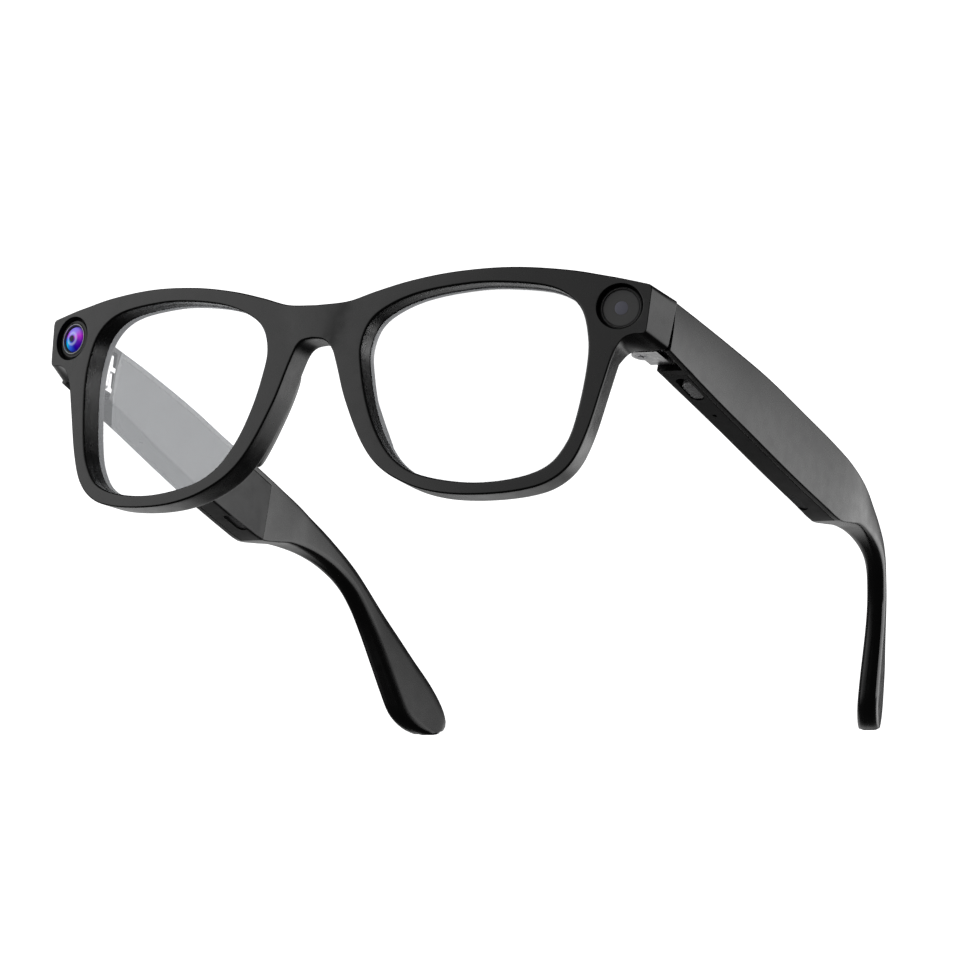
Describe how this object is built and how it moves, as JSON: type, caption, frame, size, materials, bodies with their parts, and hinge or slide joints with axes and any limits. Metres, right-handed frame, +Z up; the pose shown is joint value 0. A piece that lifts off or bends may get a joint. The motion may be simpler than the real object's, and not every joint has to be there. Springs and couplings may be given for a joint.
{
  "type": "smart glasses",
  "caption": "Thick black glasses with a camera and an indicator in the corners, clear lenses, folding electronic temples, a slide switch and a capture button.",
  "frame": {"origin": "middle of the glasses' footprint, on the table they stand on", "axes": "+Z up; +X towards the wearer's left; +Y from the front back along the temples; the front looks along -Y"},
  "size_m": [0.154, 0.1624, 0.0482],
  "materials": {
    "frame_plastic": "satin black moulded plastic",
    "temple_plastic": "satin black moulded plastic",
    "cover_plastic": "matte black moulded plastic",
    "clear_lens": "clear, polished",
    "recess_black": "matte black",
    "camera_glass": "clear, polished",
    "coated_glass": "violet and blue coating",
    "indicator_diffuser": "smoked, semi-gloss",
    "circuit_board": "solder mask",
    "flex_polyimide": "polyimide film",
    "hinge_steel": "satin steel",
    "screw_steel": "satin steel",
    "core_steel": "plain",
    "battery_foil": "foil pouch",
    "speaker_plastic": "matte",
    "mesh_metal": "black woven mesh",
    "gold_contact": "gold plated",
    "switch_steel": "satin steel"
  },
  "bodies": {
    "front": {"front_shell": "frame_plastic", "rear_frame": "frame_plastic", "lens_left": "clear_lens", "lens_right": "clear_lens", "nose_pad_left": "frame_plastic", "nose_pad_right": "frame_plastic", "camera_bezel": "recess_black", "camera_window": "camera_glass", "camera_lens": "coated_glass", "camera_barrel": "recess_black", "camera_board": "circuit_board", "indicator_bezel": "recess_black", "indicator_window": "indicator_diffuser", "indicator_board": "circuit_board", "front_flex": "flex_polyimide", "front_leaf_left": "hinge_steel", "front_leaf_right": "hinge_steel", "front_leaf_screws": "screw_steel"},
    "temple_left": {"temple_shell_left": "temple_plastic", "temple_cover_left": "cover_plastic", "temple_leaf_left": "hinge_steel", "leaf_screws_left": "screw_steel", "hinge_screw_left": "screw_steel", "core_wire_left": "core_steel", "battery_left": "battery_foil", "main_board": "circuit_board", "speaker_left": "speaker_plastic", "speaker_mesh_left": "mesh_metal", "microphone_left": "gold_contact", "switch_body": "switch_steel", "charge_pad": "cover_plastic", "charge_contacts": "gold_contact"},
    "temple_right": {"temple_shell_right": "temple_plastic", "temple_cover_right": "cover_plastic", "temple_leaf_right": "hinge_steel", "leaf_screws_right": "screw_steel", "hinge_screw_right": "screw_steel", "core_wire_right": "core_steel", "battery_right": "battery_foil", "touch_board": "circuit_board", "speaker_right": "speaker_plastic", "speaker_mesh_right": "mesh_metal", "microphone_right": "gold_contact", "button_switch": "switch_steel"},
    "slide_switch": {"slide_switch": "switch_steel"},
    "capture_button": {"capture_button": "cover_plastic"}
  },
  "joints": [
    {"name": "temple_left_fold", "type": "hinge", "parent": "front", "child": "temple_left", "pos_m": [0.0672, -0.0609, 0.03366], "axis": [0, 0, 1], "range_deg": [0, 88]},
    {"name": "temple_right_fold", "type": "hinge", "parent": "front", "child": "temple_right", "pos_m": [-0.0672, -0.0609, 0.03366], "axis": [0, 0, -1], "range_deg": [0, 73]},
    {"name": "slide_switch_travel", "type": "slide", "parent": "temple_left", "child": "slide_switch", "axis": [0, -0.9956, 0.0941], "range_m": [0, 0.0026]},
    {"name": "capture_button_press", "type": "slide", "parent": "temple_right", "child": "capture_button", "axis": [0, -0.0017, -1], "range_m": [0, 0.0004], "stiffness_N_per_m": 300}
  ]
}
